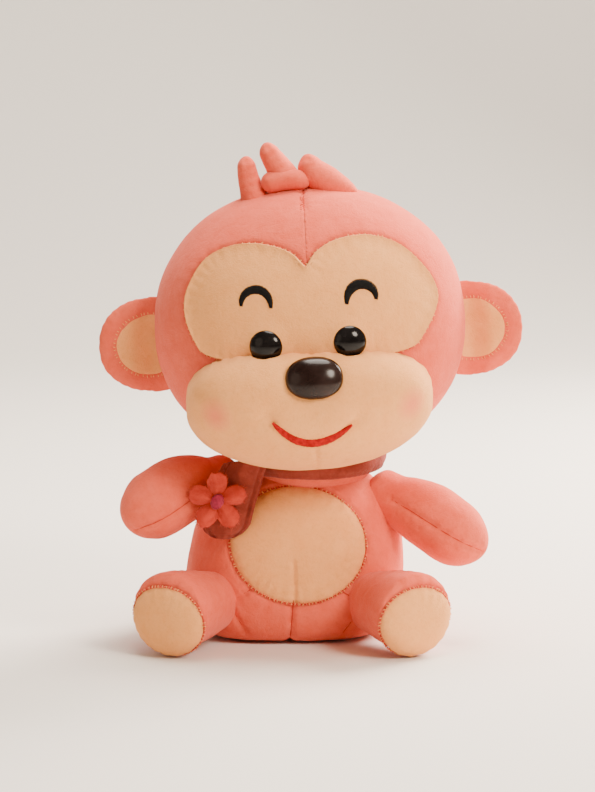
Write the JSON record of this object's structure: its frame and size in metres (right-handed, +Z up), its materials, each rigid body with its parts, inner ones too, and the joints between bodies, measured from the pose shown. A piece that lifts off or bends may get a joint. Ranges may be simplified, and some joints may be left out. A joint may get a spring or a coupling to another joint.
{
  "type": "stuffed_monkey",
  "caption": "Sitting stuffed monkey in pink and cream velour with a heart-shaped face, round ears, a scarf and a felt flower",
  "frame": {"origin": "middle of the flat oval seat panel, on the surface that the monkey sits on", "axes": "+Z up through the body; the monkey faces -Y; +X is the monkey's own left"},
  "size_m": [0.2073, 0.1411, 0.2462],
  "materials": {
    "pink_velour": "matte",
    "cream_velour": "matte",
    "rose_velour": "matte",
    "coral_felt": "matte",
    "magenta_thread": "matte",
    "black_thread": "matte",
    "red_thread": "matte",
    "fibre_filling": "matte",
    "pellet_cloth": "matte",
    "black_plastic": "gloss",
    "brown_plastic": "satin",
    "clear_plastic": "satin"
  },
  "bodies": {
    "body": {"body_left_panel": "pink_velour", "body_right_panel": "pink_velour", "seat_panel": "pink_velour", "belly_patch": "cream_velour", "body_filling": "fibre_filling", "pellet_bag": "pellet_cloth", "scarf_band": "rose_velour"},
    "neck": {"neck_filling": "fibre_filling"},
    "head": {"head_left_panel": "pink_velour", "head_right_panel": "pink_velour", "face_panel": "cream_velour", "muzzle_panel": "cream_velour", "head_filling": "fibre_filling", "left_eye": "black_plastic", "right_eye": "black_plastic", "left_eye_washer": "clear_plastic", "right_eye_washer": "clear_plastic", "nose": "brown_plastic", "nose_washer": "clear_plastic", "left_eyebrow": "black_thread", "right_eyebrow": "black_thread", "mouth": "red_thread", "hair_roll": "pink_velour", "hair_left_lock": "pink_velour", "hair_middle_lock": "pink_velour", "hair_right_lock": "pink_velour"},
    "left_ear": {"left_ear": "pink_velour", "left_ear_lining": "cream_velour"},
    "right_ear": {"right_ear": "pink_velour", "right_ear_lining": "cream_velour"},
    "left_arm": {"left_arm": "pink_velour", "left_arm_filling": "fibre_filling"},
    "right_arm": {"right_arm": "pink_velour", "right_arm_filling": "fibre_filling"},
    "left_leg": {"left_leg": "pink_velour", "left_sole": "cream_velour", "left_leg_filling": "fibre_filling"},
    "right_leg": {"right_leg": "pink_velour", "right_sole": "cream_velour", "right_leg_filling": "fibre_filling"},
    "scarf_tail": {"scarf_tail": "rose_velour", "flower": "coral_felt", "flower_centre": "magenta_thread"}
  },
  "joints": [
    {"name": "head_turn", "type": "hinge", "parent": "body", "child": "neck", "pos_m": [0.01, -0.002, 0.084], "axis": [0, 0, 1], "range_deg": [-30, 30], "stiffness_Nm_per_rad": 0.3},
    {"name": "head_nod", "type": "hinge", "parent": "neck", "child": "head", "pos_m": [0.01, -0.002, 0.084], "axis": [1, 0, 0], "range_deg": [-8, 4], "stiffness_Nm_per_rad": 1.2},
    {"name": "left_ear_fold", "type": "hinge", "parent": "head", "child": "left_ear", "pos_m": [0.08767, -0.008, 0.15166], "axis": [0.0523, 0, -0.9986], "range_deg": [-20, 45], "stiffness_Nm_per_rad": 0.02},
    {"name": "right_ear_fold", "type": "hinge", "parent": "head", "child": "right_ear", "pos_m": [-0.06732, -0.008, 0.14353], "axis": [-0.0523, 0, 0.9986], "range_deg": [-20, 45], "stiffness_Nm_per_rad": 0.02},
    {"name": "left_arm_swing", "type": "hinge", "parent": "body", "child": "left_arm", "pos_m": [0.0465, -0.006, 0.068], "axis": [0, -1, 0], "range_deg": [-12, 35], "stiffness_Nm_per_rad": 0.1},
    {"name": "right_arm_swing", "type": "hinge", "parent": "body", "child": "right_arm", "pos_m": [-0.037, -0.006, 0.073], "axis": [0, 1, 0], "range_deg": [-12, 35], "stiffness_Nm_per_rad": 0.1},
    {"name": "left_leg_lift", "type": "hinge", "parent": "body", "child": "left_leg", "pos_m": [0.035, -0.024, 0.02], "axis": [-1, 0, 0], "range_deg": [0, 25], "stiffness_Nm_per_rad": 0.15},
    {"name": "right_leg_lift", "type": "hinge", "parent": "body", "child": "right_leg", "pos_m": [-0.033, -0.024, 0.02], "axis": [-1, 0, 0], "range_deg": [0, 25], "stiffness_Nm_per_rad": 0.15},
    {"name": "scarf_tail_lift", "type": "hinge", "parent": "body", "child": "scarf_tail", "pos_m": [-0.0225, -0.0395, 0.087], "axis": [-1, 0, 0], "range_deg": [0, 60], "stiffness_Nm_per_rad": 0.006}
  ]
}
